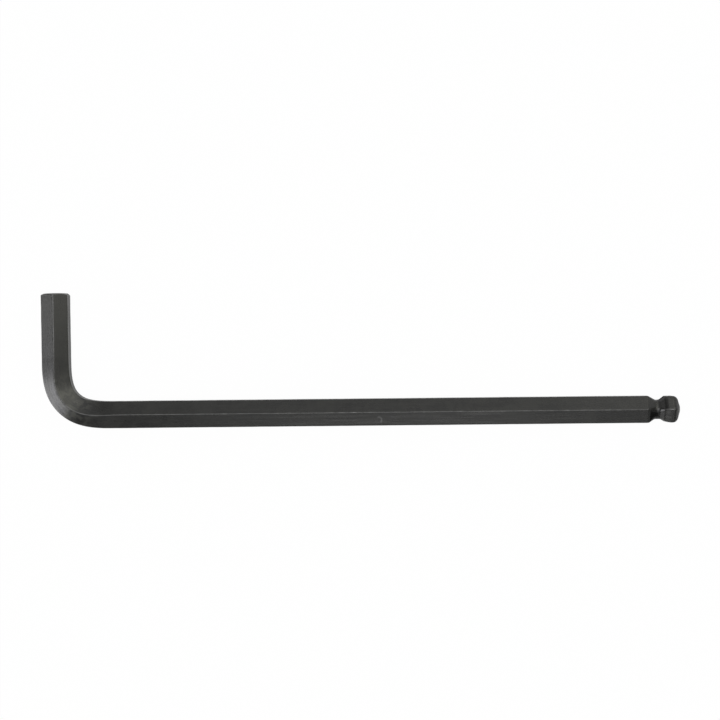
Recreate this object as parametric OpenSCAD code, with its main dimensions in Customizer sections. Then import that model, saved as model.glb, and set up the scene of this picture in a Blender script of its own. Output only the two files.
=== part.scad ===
// Ball-end hex key of the extra-long pattern, made from one length of hexagon bar.
// It lies on its lower corners, with the long arm along X and the short arm towards +Y.
// The origin is on the surface, under the middle of the outline seen from above.

/* [Bar] */
// Width across the flats
across_flats = 9.92; // [9:0.01:11]
// Rounding of the bar's corners
corner_round = 0.4; // [0.1:0.05:1]

/* [Arms] */
// Long arm, from the back of the elbow to the nose of the ball
long_arm = 234; // [150:0.5:300]
// Short arm, from the back of the elbow to the cut end
short_arm = 50; // [40:0.1:80]
// Elbow radius along the middle of the bar
elbow_radius = 14.8; // [10:0.05:24]
// Angle between the arms
arm_angle = 90.4; // [75:0.1:105]
// How much thinner the bar is drawn in the elbow, across the flats
elbow_draw = 0.05; // [0.02:0.01:0.3]

/* [Short end] */
// Diameter of the flat end face
end_face = 9.4; // [6:0.1:9.6]
// Slope of the turned chamfer, from the end face
chamfer_angle = 42; // [15:1:60]

/* [Ball end] */
// Width across the facets at the ball's crest
ball_flats = 9.85; // [8.6:0.05:9.9]
// Crest to nose
nose_length = 3; // [2.6:0.05:4]
// Lengthwise curve of each facet ahead of the crest
nose_radius = 2.5; // [1.6:0.1:2.8]
// Angle that this curve turns through
nose_sweep = 65; // [40:1:75]
// Width across the small flat on the nose
nose_flat = 2.8; // [1:0.1:4]
// Crest back to the edge where the neck begins
ball_back = 2.5; // [2:0.05:4]
// How far that edge lies below the crest
ball_drop = 0.3; // [0.2:0.05:0.8]
// Width across the neck at its narrowest
neck_flats = 7.1; // [5:0.1:7.8]
// Straight length at the bottom of the neck
neck_length = 0.7; // [0.2:0.1:4]
// Fillet between the neck and its flanks
neck_radius = 2; // [0.5:0.1:2.6]
// Slope of both flanks of the neck
flank_angle = 31; // [20:1:40]

/* [Hidden] */
$fn = 96;
// Degrees in one step of a lengthwise curve
arc_step = 6;
// Degrees that the elbow's curve runs on inside each arm
elbow_lap = 1;

// Half widths
flat_r = across_flats / 2;
ball_r = ball_flats / 2;
neck_r = neck_flats / 2;
end_r = end_face / 2;

// The middle lines of the arms cross at the datum that these places are measured from
elbow_back = flat_r / sin(arm_angle);
elbow_tangent = elbow_radius / tan(arm_angle / 2);
nose_x = long_arm - elbow_back;
short_end = short_arm - elbow_back;

// Lengthwise places on a facet of the ball end, worked back from the nose
crest_x = nose_x - nose_length;
ball_edge_x = crest_x - ball_back;
ball_edge_r = ball_r - ball_drop;
back_radius = (pow(ball_back, 2) + pow(ball_drop, 2)) / (2 * ball_drop);
flank_foot_r = neck_r + neck_radius * (1 - cos(flank_angle));
fillet_run = neck_radius * sin(flank_angle);
neck_front_x = ball_edge_x - (ball_edge_r - flank_foot_r) / tan(flank_angle) - fillet_run;
neck_rear_x = neck_front_x - neck_length;
shank_end_x = neck_rear_x - fillet_run - (flat_r - flank_foot_r) / tan(flank_angle);

// Distance from the bar's middle line to a rounded corner, for a given half width
function corner_reach(half_width) = (half_width - corner_round) / cos(30) + corner_round;

function arc(centre, radius, from, to, skip = 0) =
    let (steps = ceil(abs(to - from) / arc_step))
    [for (i = [skip : steps]) let (a = from + (to - from) * i / steps)
        centre + radius * [cos(a), sin(a)]];

// One facet of the long arm in side view: [place along the arm, half width]
facet_line = concat(
    [[elbow_tangent, flat_r], [shank_end_x, flat_r]],
    arc([neck_rear_x, neck_r + neck_radius], neck_radius, 270 - flank_angle, 270),
    arc([neck_front_x, neck_r + neck_radius], neck_radius, 270, 270 + flank_angle),
    arc([crest_x, ball_r - back_radius], back_radius, 90 + asin(ball_back / back_radius), 90),
    arc([crest_x, ball_r - nose_radius], nose_radius, 90, 90 - nose_sweep, skip = 1),
    [[nose_x, nose_flat / 2]]
);

// Hexagon bar with a flat at either side and a corner at top and bottom
module bar_section(half_width) intersection() {
    rotate(90) circle(r = half_width / cos(30), $fn = 6);
    circle(r = corner_reach(half_width));
}

// Long arm with its ball end, cut to the same line on three pairs of facets
module long_arm_bar() intersection() {
    intersection_for (turn = [0, 60, 120]) rotate([turn, 0, 0])
        linear_extrude(height = 2 * across_flats, center = true)
            polygon(concat(facet_line, [for (i = [len(facet_line) - 1 : -1 : 0])
                [facet_line[i].x, -facet_line[i].y]]));
    rotate([90, 0, 90]) rotate_extrude()
        polygon(concat([[0, elbow_tangent]], [for (p = facet_line) [corner_reach(p.y), p.x]],
            [[0, nose_x]]));
}

// The elbow is bent across the flats, and its ends lie inside the arms
module elbow() translate([elbow_tangent, elbow_radius, 0]) rotate(elbow_lap - 90)
    rotate_extrude(angle = arm_angle - 180 - 2 * elbow_lap)
        translate([elbow_radius, 0]) bar_section(flat_r - elbow_draw / 2);

// Short arm, sawn square and turned to a chamfer
module short_arm_bar() rotate(arm_angle) intersection() {
    translate([elbow_tangent, 0, 0]) rotate([90, 0, 90])
        linear_extrude(height = short_end - elbow_tangent) bar_section(flat_r);
    rotate([90, 0, 90]) rotate_extrude() polygon([
        [0, 0],
        [across_flats, 0],
        [across_flats, short_end - (across_flats - end_r) * tan(chamfer_angle)],
        [end_r, short_end],
        [0, short_end]
    ]);
}

// Middle of the outline seen from above, from the outermost flats and ends
outline_back = min(elbow_tangent - elbow_radius - flat_r,
    (short_end - (flat_r - end_r) * tan(chamfer_angle)) * cos(arm_angle) - flat_r * sin(arm_angle));
outline_tip = short_end * sin(arm_angle) + end_r * abs(cos(arm_angle));
middle = [(nose_x + outline_back) / 2, (outline_tip - flat_r) / 2, -corner_reach(flat_r)];

module hex_key() color("#3b3b39") translate(-middle) {
    long_arm_bar();
    elbow();
    short_arm_bar();
}

hex_key();
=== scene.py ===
# A blackened steel hex key with a ball end, lying on a white table under soft light
import math

import bpy
import numpy as np
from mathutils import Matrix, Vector


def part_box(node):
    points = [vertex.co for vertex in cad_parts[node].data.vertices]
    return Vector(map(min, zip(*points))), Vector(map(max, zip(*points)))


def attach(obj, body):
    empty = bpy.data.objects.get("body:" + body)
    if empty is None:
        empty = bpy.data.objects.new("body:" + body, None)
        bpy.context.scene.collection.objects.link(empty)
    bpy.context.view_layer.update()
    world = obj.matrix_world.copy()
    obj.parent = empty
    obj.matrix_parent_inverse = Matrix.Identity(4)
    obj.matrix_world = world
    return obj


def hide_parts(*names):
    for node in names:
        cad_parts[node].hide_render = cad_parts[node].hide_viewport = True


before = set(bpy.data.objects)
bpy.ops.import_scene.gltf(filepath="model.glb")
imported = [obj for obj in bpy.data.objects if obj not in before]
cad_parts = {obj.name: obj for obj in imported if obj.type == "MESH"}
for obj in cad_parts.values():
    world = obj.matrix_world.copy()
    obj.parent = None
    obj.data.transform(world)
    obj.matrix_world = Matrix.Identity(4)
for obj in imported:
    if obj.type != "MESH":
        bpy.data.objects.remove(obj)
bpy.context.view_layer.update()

MM = 0.001
UP = np.array([0.0, 0.0, 1.0])

# The bar and its arms
ACROSS_FLATS = 9.92 * MM
CORNER_ROUND = 0.4 * MM
LONG_ARM = 234 * MM
SHORT_ARM = 49.85 * MM
ARM_ANGLE = math.radians(90.4)

# The bend is tightest in its middle, by this share of its mean tightness
BEND_LENGTH = 35.4 * MM
BEND_SWELL = 0.83

# Bending draws the bar thinner, over a stretch this many times shorter than the bend, and pulls
# its top and bottom corners towards the outside
BEND_DRAW = 0.28 * MM
DRAW_SHORTER = 1.4
BEND_PULL = 0.7 * MM
PULL_SHARPNESS = 1.2

# The turned short end, its chamfer longer on the side inside the elbow by this share
END_FACE = 9.3 * MM
CHAMFER_ANGLE = math.radians(32)
CHAMFER_LEAN = 0.17
CHAMFER_REACH = 1.6 * MM
END_CROWN = 0.15 * MM
EDGE_BREAK = 0.15 * MM

# The ball end, its places counted back from the nose
NOSE_LENGTH = 3.0 * MM
NOSE_RADIUS = 2.5 * MM
NOSE_SWEEP = math.radians(65)
NOSE_FLAT = 2.8 * MM
BALL_EDGE = 5.5 * MM
NECK_RADIUS = 2.0 * MM
FLANK_ANGLE = math.radians(31)
SHANK_END = 11.45 * MM
CUTTER_MARK = 0.09 * MM

# How much rounder the corners get for each depth that the ball end is cut below the flats, and the
# roundest that they get, as a share of the bar's half width
CUT_ROUNDING = 1.05
MOST_ROUNDING = 0.9

# The bar isn't quite even: how far its flats and corners wander, over what length, and the seeds
# of their waves
FLAT_WANDER = (0.015 * MM, 31 * MM)
CORNER_WANDER = (0.45, 9 * MM)
FLAT_SEED = 11
CORNER_SEED = 31

# Facets round the bar, from the one inside the elbow, over the top
INSIDE, TOP_INSIDE, TOP_OUTSIDE, OUTSIDE, UNDER_OUTSIDE, UNDER_INSIDE = range(6)
FACETS = 6
FACET_TURN = math.pi / 3

# The part of the bend's draw and of its pull that each facet takes, outwards positive
BEND_CHANGES = {
    INSIDE: (-0.5, 0.0),
    TOP_INSIDE: (0.0, -0.5),
    TOP_OUTSIDE: (0.0, 0.5),
    OUTSIDE: (-0.5, 0.0),
    UNDER_OUTSIDE: (0.0, 0.5),
    UNDER_INSIDE: (0.0, -0.5),
}

# How fine the mesh is: steps round the bar, steps along it, how far before the neck they become
# fine, and the sizes of the rings that close an end, as shares of its outline
CORNER_STEPS = 6
FLAT_STEPS = 8
CHAMFER_STEP = 0.07 * MM
STRAIGHT_STEP = 0.8 * MM
BEND_STEP = 0.35 * MM
BALL_STEP = 0.11 * MM
BALL_LEAD = 1.4 * MM
CAP_SHARES = (0.3, 0.55, 0.8)

# How closely the bend and the middle line are added up, and points on each arc of a facet line
BEND_SAMPLES = 2001
LINE_SAMPLES = 20001
ARC_POINTS = 24

FLAT_R = ACROSS_FLATS / 2
FLAT_WIDTH = ACROSS_FLATS * math.tan(FACET_TURN / 2)
CORNER_WIDTH = CORNER_ROUND * FACET_TURN
FACET_PITCH = FLAT_WIDTH + CORNER_WIDTH
GIRTH = FACETS * FACET_PITCH
BEND_TURN = math.pi - ARM_ANGLE
BACK = FLAT_R / math.sin(ARM_ANGLE)
NOSE = LONG_ARM - BACK
SHORT_END = SHORT_ARM - BACK

# A patch starts at the first of four places, is full from the second to the third and ends at the
# fourth. Places round the bar are counted in facets from its top corner, outside the elbow positive.
FLAT_SHARE = FLAT_WIDTH / FACET_PITCH
CORNER_SHARE = CORNER_WIDTH / FACET_PITCH
INSIDE_FLAT = (-1 - FLAT_SHARE, -1 - 0.9 * FLAT_SHARE, -1 - 0.1 * FLAT_SHARE, -1)
INSIDE_AND_CORNER = (-1 - FLAT_SHARE, -1 - 0.9 * FLAT_SHARE, -1, -1 + CORNER_SHARE)
OUTSIDE_FLAT = (1, 1 + CORNER_SHARE, 2, 2 + CORNER_SHARE)

# Painted shade at the ball end, dull dark patches in the neck and on the ball's flanks and edge where they
# show dark reflections: their places back from the nose and round the bar, and how strong the shade is
PAINTED_SHADE_PATCHES = (
    ((7.6 * MM, 8.4 * MM, 11.2 * MM, 11.5 * MM), (0.05, 0.22, 0.95, 1.05), 1.0),
    ((4.5 * MM, 4.9 * MM, 5.8 * MM, 6.1 * MM), (-0.85, -0.75, -0.05, 0.1), 0.5),
    ((5.3 * MM, 5.8 * MM, 7.9 * MM, 8.5 * MM), INSIDE_AND_CORNER, 1.0),
)

# Roughness fades out between these shares of the bend on its inside flat, and between these
# distances back from the nose
ROUGH_BEND = (0.7, 1.0)
ROUGH_NOSE = (1.0 * MM, 2.0 * MM)

# Corners are rubbed where they stand this high: from none at the first height to all at the second
RUBBED_HEIGHT = (5.0 * MM, 5.5 * MM)


def corner_reach(half_width, rounding=CORNER_ROUND):
    """Distance from the bar's middle line to a rounded corner."""
    return (half_width - rounding) / math.cos(FACET_TURN / 2) + rounding


# The frame's box places the datum, where the middle lines of the arms cross
box_low, box_high = (np.array(corner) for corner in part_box("hex_key"))
DATUM = np.array([box_high[0] - NOSE, box_low[1] + FLAT_R, box_low[2] + corner_reach(FLAT_R)])


def bend_heading(share):
    """How far the bar has turned, at a share of the bend's length."""
    return BEND_TURN * (share - BEND_SWELL * np.sin(2 * math.pi * share) / (2 * math.pi))


class MiddleLine:
    """The bar's middle line, from the short end round the bend to the nose."""

    def __init__(self):
        turn = bend_heading(np.linspace(0, 1, BEND_SAMPLES))
        chord = BEND_LENGTH * math.hypot(np.cos(turn).mean(), np.sin(turn).mean())
        reach = chord / (2 * math.sin(ARM_ANGLE / 2))
        self.bend_start = SHORT_END - reach
        self.bend_end = self.bend_start + BEND_LENGTH
        self.length = self.bend_end + NOSE - reach
        self.places = np.linspace(0, self.length, LINE_SAMPLES)
        step = self.places[1]
        heading = self.heading(self.places)
        self.line = np.column_stack([np.cumsum(np.cos(heading)), np.cumsum(np.sin(heading))]) * step
        self.line += (NOSE, 0) - self.line[-1]

    def bend_share(self, along):
        """How much of the bend lies behind, from 0 on the short arm to 1 on the long one."""
        return np.clip((along - self.bend_start) / BEND_LENGTH, 0, 1)

    def heading(self, along):
        """Direction of travel in the plane of the arms, as an angle."""
        return ARM_ANGLE + math.pi + bend_heading(self.bend_share(along))

    def point(self, along):
        """Points on the line, from the datum."""
        x, y = (np.interp(along, self.places, self.line[:, axis]) for axis in (0, 1))
        return np.stack([x, y, 0 * x], axis=-1)

    def inward(self, along):
        """Direction across the bar, towards the inside of the elbow."""
        heading = self.heading(along)
        return np.stack([-np.sin(heading), np.cos(heading), 0 * heading], axis=-1)


def arc(centre, radius, start, stop):
    """Points along an arc, as [place along the arm, half width]."""
    turn = np.linspace(start, stop, ARC_POINTS)
    return np.column_stack([centre[0] + radius * np.cos(turn), centre[1] + radius * np.sin(turn)])


def facet_line(crest_r, drop, neck_r, front_slope=FLANK_ANGLE, rear_slope=FLANK_ANGLE,
               front_radius=NECK_RADIUS, shank_end=SHANK_END, ball_edge=BALL_EDGE, level=0.0):
    """One facet of the ball end from the side, as [place from the nose, half width].

    Behind the crest it runs level for a way, drops to the ball's edge, goes down the front flank
    into the neck and up the rear flank to the full bar.
    """
    crest = -NOSE_LENGTH
    edge = -ball_edge
    back = crest - level - edge
    back_radius = (back ** 2 + drop ** 2) / (2 * drop)
    front_foot = neck_r + front_radius * (1 - math.cos(front_slope))
    front = (edge - (crest_r - drop - front_foot) / math.tan(front_slope)
             - front_radius * math.sin(front_slope))
    rear_foot = neck_r + NECK_RADIUS * (1 - math.cos(rear_slope))
    rear = (-shank_end + (FLAT_R - rear_foot) / math.tan(rear_slope)
            + NECK_RADIUS * math.sin(rear_slope))
    bottom, top = -math.pi / 2, math.pi / 2
    return np.vstack([
        [[-shank_end, FLAT_R]],
        arc((rear, neck_r + NECK_RADIUS), NECK_RADIUS, bottom - rear_slope, bottom),
        arc((front, neck_r + front_radius), front_radius, bottom, bottom + front_slope),
        arc((crest - level, crest_r - back_radius), back_radius, top + math.asin(back / back_radius), top),
        arc((crest, crest_r - NOSE_RADIUS), NOSE_RADIUS, top, top - NOSE_SWEEP)[1:],
        [[0.0, NOSE_FLAT / 2]],
    ])


# The facets were cut one by one, so their lines differ a little; the hidden two are even
EVEN_LINE = facet_line(crest_r=4.92 * MM, drop=0.3 * MM, neck_r=3.55 * MM)
FACET_LINES = {
    INSIDE: facet_line(
        crest_r=4.85 * MM, drop=0.08 * MM, neck_r=3.44 * MM, shank_end=11.9 * MM,
        front_slope=math.radians(34), rear_slope=math.radians(28)),
    TOP_INSIDE: facet_line(
        crest_r=4.9 * MM, drop=0.28 * MM, neck_r=3.5 * MM, shank_end=12.2 * MM,
        front_slope=math.radians(30), rear_slope=math.radians(24), ball_edge=5.9 * MM, level=1.4 * MM),
    TOP_OUTSIDE: facet_line(
        crest_r=4.92 * MM, drop=0.3 * MM, neck_r=3.45 * MM, shank_end=12.3 * MM,
        front_slope=math.radians(31), rear_slope=math.radians(24), ball_edge=6.0 * MM),
    OUTSIDE: facet_line(
        crest_r=4.94 * MM, drop=0.38 * MM, neck_r=3.65 * MM, shank_end=11.6 * MM, front_radius=2.4 * MM),
}


def softened(line, places):
    """Half widths of a facet line at the given places, its edges rounded as a cutter leaves them."""
    marks = np.linspace(-2, 2, 17)
    weights = np.exp(-marks ** 2 / 2)
    spread = [np.interp(places + mark * CUTTER_MARK, line[:, 0], line[:, 1]) for mark in marks]
    return np.average(spread, axis=0, weights=weights)


def wander(along, seed, depth, length):
    """Slow, repeatable unevenness along the bar: three waves, each shorter and weaker."""
    rng = np.random.default_rng(seed)
    shares = (1.0, 0.55, 0.3)
    total = 0.0
    for share in shares:
        wave_length = length * share * rng.uniform(0.8, 1.25)
        total = total + share * np.sin(2 * math.pi * (along / wave_length + rng.random()))
    return depth * total / sum(shares)


def stations(line):
    """Distances along the bar at which it gets a ring of points."""
    chamfer_end = END_CROWN + CHAMFER_REACH
    ball_start = line.length - SHANK_END - BALL_LEAD
    stretches = (
        (END_CROWN, chamfer_end, CHAMFER_STEP),
        (chamfer_end, line.bend_start, STRAIGHT_STEP),
        (line.bend_start, line.bend_end, BEND_STEP),
        (line.bend_end, ball_start, STRAIGHT_STEP),
        (ball_start, line.length, BALL_STEP),
    )
    places = []
    for start, stop, step in stretches:
        places.append(np.linspace(start, stop, round((stop - start) / step) + 1)[:-1])
    return np.concatenate([*places, [line.length]])


def half_widths(line, along):
    """Half width of every facet at every ring."""
    share = line.bend_share(along)
    drawn_share = np.clip(0.5 + DRAW_SHORTER * (share - 0.5), 0, 1)
    drawn = BEND_DRAW * np.sin(math.pi * drawn_share) ** 2
    pulled = BEND_PULL * np.sin(math.pi * share) ** PULL_SHARPNESS
    widths = []
    for facet in range(FACETS):
        width = softened(FACET_LINES.get(facet, EVEN_LINE), along - line.length)
        width += wander(along, FLAT_SEED + facet, *FLAT_WANDER)
        draw_part, pull_part = BEND_CHANGES[facet]
        widths.append(width + drawn * draw_part + pulled * pull_part)
    return widths


def corner_points(along, widths, facet):
    """Points round the corner that follows a facet, as [inward, up] at every ring."""
    a = facet * FACET_TURN
    b = a + FACET_TURN
    this, following = widths[facet], widths[(facet + 1) % FACETS]
    tip = np.stack([this * math.sin(b) - following * math.sin(a),
                    following * math.cos(a) - this * math.cos(b)], axis=-1) / math.sin(FACET_TURN)
    rounding = CORNER_ROUND * (1 + wander(along, CORNER_SEED + facet, *CORNER_WANDER))
    rounding += CUT_ROUNDING * np.maximum(FLAT_R - (this + following) / 2, 0)
    rounding = np.minimum(rounding, MOST_ROUNDING * np.minimum(this, following))[:, None]
    middle = (a + b) / 2
    centre = tip - rounding / math.cos(FACET_TURN / 2) * (math.cos(middle), math.sin(middle))
    turns = np.linspace(a, b, CORNER_STEPS + 1)
    return [centre + rounding * (math.cos(turn), math.sin(turn)) for turn in turns]


def bar_rings(along, widths):
    """Points of every ring, how much each one is on a corner, and its place round the bar.

    A point is 1 in the middle of a corner, a half at the corner's ends and 0 out on the flats. The
    places have one more at the end, where the last flat meets the first corner again.
    """
    corners = [corner_points(along, widths, facet) for facet in range(FACETS)]
    points, on_corner, round_place = [], [], []
    for facet, corner in enumerate(corners):
        start = facet * FACET_PITCH
        for step, point in enumerate(corner):
            share = step / CORNER_STEPS
            points.append(point)
            on_corner.append(1 - abs(share - 0.5))
            round_place.append(start + share * CORNER_WIDTH)
        first, last = corner[-1], corners[(facet + 1) % FACETS][0]
        for step in range(1, FLAT_STEPS):
            share = step / FLAT_STEPS
            points.append(first + (last - first) * share)
            on_corner.append(max(0.0, 0.5 - 2 * min(share, 1 - share)))
            round_place.append(start + CORNER_WIDTH + share * FLAT_WIDTH)
    return np.stack(points, axis=1), np.array(on_corner), np.array(round_place + [GIRTH])


def turned_chamfer(sections, along):
    """Cuts the rings near the short end back to the cone that was turned there."""
    run = (along - END_CROWN)[:, None]
    slope = math.tan(CHAMFER_ANGLE) * (1 + CHAMFER_LEAN * sections[..., 0] / FLAT_R)
    cone = END_FACE / 2 + np.maximum(run - EDGE_BREAK / 2, 0) / slope
    cone = cone - EDGE_BREAK * np.exp(-run / EDGE_BREAK)
    keep = np.minimum(1, cone / np.hypot(sections[..., 0], sections[..., 1]))
    return sections * keep[..., None]


def end_cap(ring, tip):
    """Rings that close an end, from its tip outwards, domed where the tip stands proud."""
    middle = ring.mean(axis=0)
    return [tip + (middle - tip) * share ** 2 + (ring - middle) * share for share in CAP_SHARES]


def skin(row_along, round_place):
    """Faces between the rows and on to a tip at either end, and each face's places on the bar."""
    rows, count = len(row_along), len(round_place) - 1
    grid = np.arange(rows * count).reshape(rows, count).tolist()
    short_tip, nose_tip = rows * count, rows * count + 1
    first, last = row_along[0], row_along[-1]
    faces, places = [], []
    for i in range(count):
        k = (i + 1) % count
        near, far = round_place[i], round_place[i + 1]
        faces.append((grid[0][k], grid[0][i], short_tip))
        places += [(first, far), (first, near), (first, near)]
        for j in range(rows - 1):
            this, following = row_along[j], row_along[j + 1]
            faces.append((grid[j][i], grid[j][k], grid[j + 1][k], grid[j + 1][i]))
            places += [(this, near), (this, far), (following, far), (following, near)]
        faces.append((grid[-1][i], grid[-1][k], nose_tip))
        places += [(last, near), (last, far), (last, near)]
    return faces, places


def patch(place, ends):
    """1 between the middle two of four places, falling to 0 at the outer two."""
    return np.interp(place, ends, (0, 1, 1, 0))


def finish_marks(line, rows, row_along, on_corner, round_place):
    """What the material reads off the mesh: values at the points of every row, and at both tips."""
    back = line.length - row_along
    turn = (round_place[:-1] / FACET_PITCH - 1 + FACETS / 2) % FACETS - FACETS / 2
    everywhere = np.ones(len(turn))
    on_end = np.arange(len(rows)) <= len(CAP_SHARES)
    on_chamfer = row_along < END_CROWN + CHAMFER_REACH / 2
    on_ball = back < SHANK_END
    share = line.bend_share(row_along)
    height = np.abs(rows[..., 2]).max(axis=1)
    standing = np.interp(height, RUBBED_HEIGHT, (0, 1))
    inside, outside = patch(turn, INSIDE_FLAT), patch(turn, OUTSIDE_FLAT)
    rough = (
        np.outer(np.interp(share, ROUGH_BEND, (1, 0)) * ~on_end, inside),
        np.outer(on_ball, np.maximum(inside, outside)),
        np.outer(np.interp(back, ROUGH_NOSE, (1, 0)), everywhere),
    )
    # The scale mark is painted shade: where the ball end's patches lie, the material turns dull and dark
    scale = [np.outer(patch(back, stretch), patch(turn, spread)) * shade_strength
             for stretch, spread, shade_strength in PAINTED_SHADE_PATCHES]
    return {
        "corner": (np.outer(standing, on_corner), (0, 0)),
        "bend": (np.outer(np.sin(math.pi * share) ** 3, everywhere), (0, 0)),
        "sawn": (np.outer(on_end, everywhere), (1, 0)),
        "cut": (np.outer(on_chamfer | on_ball, everywhere), (1, 1)),
        "scale": (np.maximum.reduce(scale), (0, 0)),
        "rough": (np.maximum.reduce(rough), (0, 1)),
    }


def make_key():
    """The whole key as one mesh, swept along its middle line."""
    line = MiddleLine()
    along = stations(line)
    sections, on_corner, round_place = bar_rings(along, half_widths(line, along))
    sections = turned_chamfer(sections, along)
    rings = (line.point(along)[:, None, :] + sections[..., :1] * line.inward(along)[:, None, :]
             + sections[..., 1:] * UP)
    tips = [line.point(np.array(place)) for place in (0.0, line.length)]
    short_cap, nose_cap = end_cap(rings[0], tips[0]), end_cap(rings[-1], tips[1])
    rows = np.array([*short_cap, *rings, *nose_cap[::-1]])
    row_along = np.pad(along, len(CAP_SHARES), mode="edge")

    # The bar's unevenness takes no point past the frame's box or under the table
    verts = np.clip(np.vstack([*rows, tips]) + DATUM, box_low, box_high)
    faces, places = skin(row_along, round_place)
    mesh = bpy.data.meshes.new("black_hex_key")
    mesh.from_pydata(verts.tolist(), [], faces)
    layer = mesh.uv_layers.new(name="bar")
    layer.data.foreach_set("uv", np.array(places, dtype=np.float32).ravel())
    marks = finish_marks(line, rows, row_along, on_corner, round_place)
    for name, (row_values, tip_values) in marks.items():
        attribute = mesh.attributes.new(name, "FLOAT", "POINT")
        values = np.concatenate([row_values.ravel(), tip_values])
        attribute.data.foreach_set("value", values.astype(np.float32))
    mesh.polygons.foreach_set("use_smooth", [True] * len(mesh.polygons))
    mesh.validate()
    mesh.update()
    key = bpy.data.objects.new("black_hex_key", mesh)
    bpy.context.scene.collection.objects.link(key)
    return key


class Signal:
    """A socket, so that shader maths reads as sums in Python."""

    def __init__(self, work, socket):
        self.work = work
        self.socket = socket

    def _math(self, operation, *values):
        return self.work.node("ShaderNodeMath", {"operation": operation}, dict(enumerate(values)))

    def __add__(self, other):
        return self._math("ADD", self, other)

    def __sub__(self, other):
        return self._math("SUBTRACT", self, other)

    def __rsub__(self, other):
        return self._math("SUBTRACT", other, self)

    def __mul__(self, other):
        return self._math("MULTIPLY", self, other)

    def __pow__(self, other):
        return self._math("POWER", self, other)

    def __abs__(self):
        return self._math("ABSOLUTE", self)

    __radd__ = __add__
    __rmul__ = __mul__

    def between(self, low, high):
        """0 at low and 1 at high, smooth between them; low may be the larger."""
        return self.work.node(
            "ShaderNodeMapRange", {"interpolation_type": "SMOOTHSTEP"},
            {"Value": self, "From Min": low, "From Max": high})


class NodeWork:
    """Fills the node tree of a material or of the room."""

    def __init__(self, owner):
        owner.use_nodes = True
        self.tree = owner.node_tree
        self.tree.nodes.clear()

    def node(self, kind, settings=None, inputs=None, output=0):
        """Adds a node: its settings come first, then its sockets' values or links."""
        made = self.tree.nodes.new(kind)
        for name, value in (settings or {}).items():
            setattr(made, name, value)
        for key, value in (inputs or {}).items():
            socket = made.inputs[key]
            if isinstance(value, Signal):
                self.tree.links.new(value.socket, socket)
            else:
                socket.default_value = value
        return Signal(self, made.outputs[output]) if made.outputs else None

    def mix(self, share, first, second):
        """A colour between two, by share. The node's sockets share names, so they go by number."""
        factor, one, other, result = 0, 6, 7, 2
        inputs = {factor: share, one: first, other: second}
        return self.node("ShaderNodeMix", {"data_type": "RGBA"}, inputs, result)

    def noise(self, place, scale, detail=2.0, roughness=0.6):
        """Grey noise, with this many waves to the metre."""
        return self.node("ShaderNodeTexNoise", {}, {
            "Vector": place, "Scale": scale, "Detail": detail, "Roughness": roughness})

    def stretched(self, place, scale):
        """A place whose axes are scaled, so that noise there draws out into lines."""
        return self.node("ShaderNodeMapping", {}, {"Vector": place, "Scale": scale})

    def mark(self, name):
        """A value that the mesh carries."""
        return self.node("ShaderNodeAttribute", {"attribute_name": name}, output="Fac")

    def axes(self, place):
        """The three parts of a place or direction."""
        return [self.node("ShaderNodeSeparateXYZ", {}, {0: place}, axis) for axis in range(3)]


def grey(value, warmth=0.0):
    """A near-neutral colour, a little warm or cool."""
    return (value, value, value * (1 - 2 * warmth), 1.0)


# Colours of the finish
DEEP_OXIDE = grey(0.004, 0.03)
THIN_OXIDE = grey(0.013, 0.07)
DRAWN_LINE = grey(0.02, 0.06)
CRAZED_OXIDE = grey(0.06, 0.08)
WORN_END = grey(0.038, 0.05)
RUBBED_STEEL = grey(0.13)
SCUFFED_STEEL = grey(0.1)
PIT_BLACK = grey(0.004)

# The short end is worn over this length, and its corners are rubbed more and more between these
# distances from it
WORN_LENGTH = 26 * MM
RUBBED_END = (25 * MM, 16 * MM)

# Stretches where the long arm's top corner is rubbed bright: middle along X and half length
RUBBED = ((-101.5, 3.2), (-7.2, 1.7), (-2.7, 1.3), (22.6, 1.0), (94.0, 1.0), (113.6, 0.9))

# A small curved scuff beside that corner: place, radius of its curve, width of its line, how far
# across it the line fades in, and the edge of the pit in its middle
SCUFF_PLACE = (6.4 * MM, -22.9 * MM)
SCUFF_RADIUS = 1.05 * MM
SCUFF_WIDTH = 0.5 * MM
SCUFF_FADE = (-0.4 * MM, 0.6 * MM)
PIT_EDGE = (0.55 * MM, 0.1 * MM)

# How many waves each pattern of the finish has to the metre
FINE_LINES = 2500.0
WIDE_LINES = 950.0
CLOUDS = 110.0
BLOTCHES = 430.0
GRAIN = 5200.0
CUTTER_LINES = 5200.0
SAW_LINES = 4600.0

# How patterns are drawn out into lines: along the bar, round it, and across the sawn face
ALONG_BAR = (0.03, 1.0, 1.0)
ROUND_BAR = (1.0, 0.08, 1.0)
ACROSS_END = (0.05, 1.0, 1.0)

# The steel's sheen, and how deep its relief is
OXIDE_ROUGHNESS = 0.32
OXIDE_IOR = 1.62
RELIEF_DEPTH = 0.02 * MM
RELIEF_STRENGTH = 0.35


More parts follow.
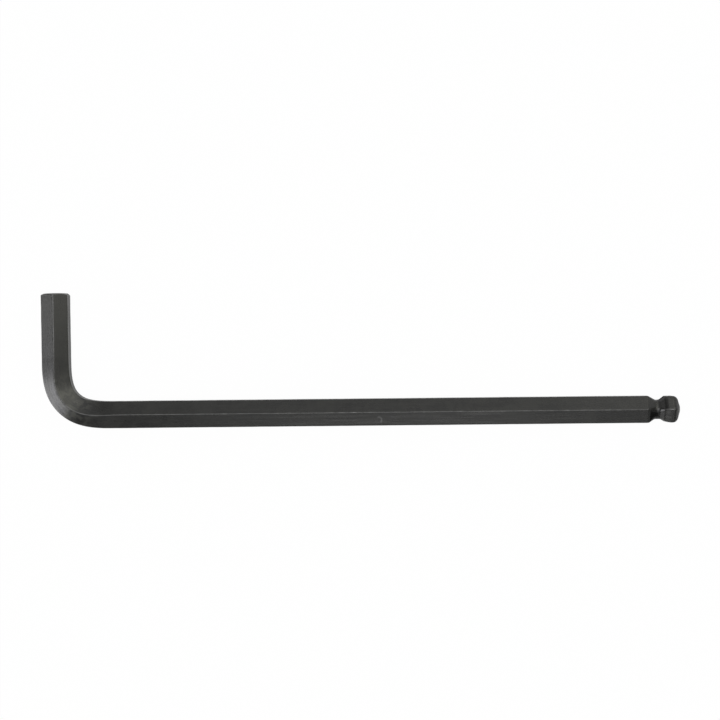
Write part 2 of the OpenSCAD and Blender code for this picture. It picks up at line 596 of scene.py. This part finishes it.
def black_oxide():
    """Blackened steel: drawn lines along the bar, uneven oxide, rubbed corners and cut ends."""
    material = bpy.data.materials.new("black_oxide")
    work = NodeWork(material)
    bar = work.node("ShaderNodeUVMap", {"uv_map": "bar"})
    solid = work.node("ShaderNodeTexCoord", output="Object")
    x, y, _ = work.axes(solid)
    distance, _, _ = work.axes(bar)
    # The scale mark carries the ball end's painted shade
    names = ("corner", "bend", "sawn", "cut", "scale", "rough")
    corner, bend, sawn, cut, scale, rough = (work.mark(name) for name in names)

    lengthwise = work.stretched(bar, ALONG_BAR)
    drawn_fine = work.noise(lengthwise, FINE_LINES, detail=4.0, roughness=0.65)
    drawn_wide = work.noise(lengthwise, WIDE_LINES, roughness=0.5)
    cloud = work.noise(solid, CLOUDS, detail=3.0, roughness=0.55)
    blotch = work.noise(solid, BLOTCHES, roughness=0.55)
    grain = work.noise(solid, GRAIN)
    cutter_lines = work.noise(work.stretched(bar, ROUND_BAR), CUTTER_LINES) * cut
    saw_lines = work.noise(work.stretched(solid, ACROSS_END), SAW_LINES) * sawn

    # Bending crazes the oxide, so the blotches stand out there
    crazed = blotch.between(0.42, 0.62) * bend
    streak = (drawn_wide * 0.45 + drawn_fine * 0.55).between(0.38, 0.62)
    uneven = cloud * 0.6 + blotch * 0.4
    colour = work.mix(uneven.between(0.36, 0.64), DEEP_OXIDE, THIN_OXIDE)
    colour = work.mix(streak * 0.5, colour, DRAWN_LINE)
    colour = work.mix(crazed * 0.7, colour, CRAZED_OXIDE)
    colour = work.mix(distance.between(WORN_LENGTH, 0.0) * 0.7, colour, WORN_END)

    # Hands and sockets rub the corners
    spots = sum(abs(x - place * MM).between(half * MM, 0.0) for place, half in RUBBED)
    spots = spots + distance.between(*RUBBED_END) * 0.7
    rubbed = corner.between(0.55, 0.95) * (blotch.between(0.35, 0.8) * 0.6 + 0.2 + spots)
    colour = work.mix(rubbed * 0.6, colour, RUBBED_STEEL)

    # The scuff is a part of a ring, with a dark pit in its middle
    scuff_x, scuff_y = x - SCUFF_PLACE[0], y - SCUFF_PLACE[1]
    from_scuff = (scuff_x * scuff_x + scuff_y * scuff_y) ** 0.5
    ring = abs(from_scuff - SCUFF_RADIUS).between(SCUFF_WIDTH, 0.0)
    scuff = ring * (scuff_x + scuff_y * 0.5).between(*SCUFF_FADE)
    pit = from_scuff.between(*PIT_EDGE)
    colour = work.mix(scuff * 0.7, colour, SCUFFED_STEEL)
    colour = work.mix(pit * 0.7, colour, PIT_BLACK)

    dull = OXIDE_ROUGHNESS + (uneven - 0.5) * 0.2 + (0.5 - streak) * 0.1 + (grain - 0.5) * 0.08
    dull = dull - rubbed * 0.06 + sawn * 0.12 + rough * 0.25
    relief = drawn_fine * 0.5 + drawn_wide * 0.5 + grain * 0.3 + blotch * (0.5 + bend)
    relief = relief + cutter_lines * 0.8 + saw_lines * 1.5 - pit
    bump = work.node("ShaderNodeBump", {}, {
        "Strength": RELIEF_STRENGTH, "Distance": RELIEF_DEPTH, "Height": relief})
    surface = work.node("ShaderNodeBsdfPrincipled", {}, {
        "Base Color": colour, "Roughness": dull, "IOR": OXIDE_IOR, "Normal": bump})

    # Painted shade: a dull black diffuse sheet, mixed in by the scale mark, darkens the neck and the
    # ball's flanks and edge, where they show dark reflections
    painted_shade = work.node("ShaderNodeBsdfDiffuse", {}, {"Color": DEEP_OXIDE, "Roughness": 1.0})
    surface = work.node("ShaderNodeMixShader", {}, {0: scale * 0.85, 1: surface, 2: painted_shade})
    work.node("ShaderNodeOutputMaterial", {}, {"Surface": surface})
    return material


# Half the table's side, its colour where light falls, and the share of its white that the key's
# shadow leaves alone
TABLE_HALF = 4.0
TABLE_GREY = 0.9
TABLE_WHITE = 0.98


def table_top():
    """White table: it shows as white to the camera and in reflections, and keeps the key's shadow."""
    material = bpy.data.materials.new("white_table")
    work = NodeWork(material)
    rays = ("Is Camera Ray", "Is Glossy Ray", "Is Transmission Ray")
    seen = sum(work.node("ShaderNodeLightPath", output=ray) for ray in rays).between(0.0, 1.0)
    lit = work.node("ShaderNodeBsdfDiffuse", {}, {"Color": grey(TABLE_GREY)})
    white = work.node("ShaderNodeEmission", {}, {"Color": grey(1.0), "Strength": 1.0})
    surface = work.node("ShaderNodeMixShader", {}, {0: seen * TABLE_WHITE, 1: lit, 2: white})
    work.node("ShaderNodeOutputMaterial", {}, {"Surface": surface})
    return material


def lay_table():
    """The table that the key lies on."""
    h = TABLE_HALF
    mesh = bpy.data.meshes.new("table")
    mesh.from_pydata([(-h, -h, 0), (h, -h, 0), (h, h, 0), (-h, h, 0)], [], [(0, 1, 2, 3)])
    mesh.materials.append(table_top())
    table = bpy.data.objects.new("table", mesh)
    bpy.context.scene.collection.objects.link(table)
    table.location.z = box_low[2]


# The soft boxes are aimed at the elbow. In degrees: azimuth and elevation of each one from there,
# and the width and height that it takes up of its view. Then the white that it shows, and its warmth.
LAMP_DISTANCE = 1.8
SOFT_BOXES = {
    "left_box": (204, 18, 39, 16, 5.2, -0.02),
    "left_fill": (184, 18, 22, 18, 1.0, 0.0),
    "right_box": (44, 38, 38, 24, 1.5, 0.06),
    "side_box": (4, 36, 26, 32, 0.36, 0.06),
    "back_box": (80, 32, 32, 20, 0.5, 0.0),
    "front_box": (276, 28, 14, 16, 1.5, 0.0),
    "nose_box": (300, 27, 12, 16, 1.1, 0.0),
    "neck_box": (232, 9, 14, 8, 1.6, 0.0),
}

# The room's own light: dim all round, more towards the top, bright overhead, and a low glow behind,
# which starts and is full at these heights and depths of a direction
ROOM_DIM = 0.08
ROOM_UPPER = 0.2
ROOM_OVERHEAD = 2.6
ROOM_GLOW = 0.6
GLOW_HEIGHTS = (0.45, 0.22)
GLOW_DEPTHS = (0.3, 0.7)


def soft_box(name, azimuth, elevation, wide, high, radiance, warmth):
    """A square lamp, its brightness given as the white that it would show."""
    a, e = math.radians(azimuth), math.radians(elevation)
    towards = Vector((math.cos(a) * math.cos(e), math.sin(a) * math.cos(e), math.sin(e)))
    lamp = bpy.data.lights.new(name, "AREA")
    lamp.shape = "RECTANGLE"
    lamp.size = 2 * LAMP_DISTANCE * math.tan(math.radians(wide / 2))
    lamp.size_y = 2 * LAMP_DISTANCE * math.tan(math.radians(high / 2))
    lamp.energy = radiance * lamp.size * lamp.size_y * math.pi
    lamp.color = grey(1.0, warmth)[:3]
    holder = bpy.data.objects.new(name, lamp)
    bpy.context.scene.collection.objects.link(holder)
    holder.location = Vector(DATUM) + towards * LAMP_DISTANCE
    holder.rotation_mode = "QUATERNION"
    holder.rotation_quaternion = (-towards).to_track_quat("-Z", "Y")
    holder.visible_camera = False


def light_room():
    """A room that is brightest overhead, and the soft boxes round the key."""
    world = bpy.data.worlds.new("room")
    bpy.context.scene.world = world
    work = NodeWork(world)
    _, depth, height = work.axes(work.node("ShaderNodeTexCoord", output="Generated"))
    low_behind = height.between(*GLOW_HEIGHTS) * depth.between(*GLOW_DEPTHS)
    strength = ROOM_DIM + height ** 2.0 * ROOM_UPPER + height ** 6.0 * ROOM_OVERHEAD
    light = work.node("ShaderNodeBackground", {}, {"Strength": strength + low_behind * ROOM_GLOW})
    work.node("ShaderNodeOutputWorld", {}, {"Surface": light})
    for name, settings in SOFT_BOXES.items():
        soft_box(name, *settings)


# Where the photograph's perspective puts the lens, how far it is turned, and its focal length
LENS_PLACE = (-0.255 * MM, -0.88 * MM, 627.68 * MM)
LENS_ROLL = math.radians(-0.58)
LENS_MM = 84.42


def place_camera():
    """Straight down over the key, a little turned."""
    camera = bpy.data.cameras.new("camera")
    camera.sensor_width = 36.0
    camera.lens = LENS_MM
    holder = bpy.data.objects.new("camera", camera)
    bpy.context.scene.collection.objects.link(holder)
    holder.location = LENS_PLACE
    holder.rotation_euler = (0.0, 0.0, LENS_ROLL)
    bpy.context.scene.camera = holder


place_camera()
key = make_key()
key.data.materials.append(black_oxide())
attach(key, "root")
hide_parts("hex_key")
lay_table()
light_room()
bpy.context.scene.view_settings.view_transform = "Standard"
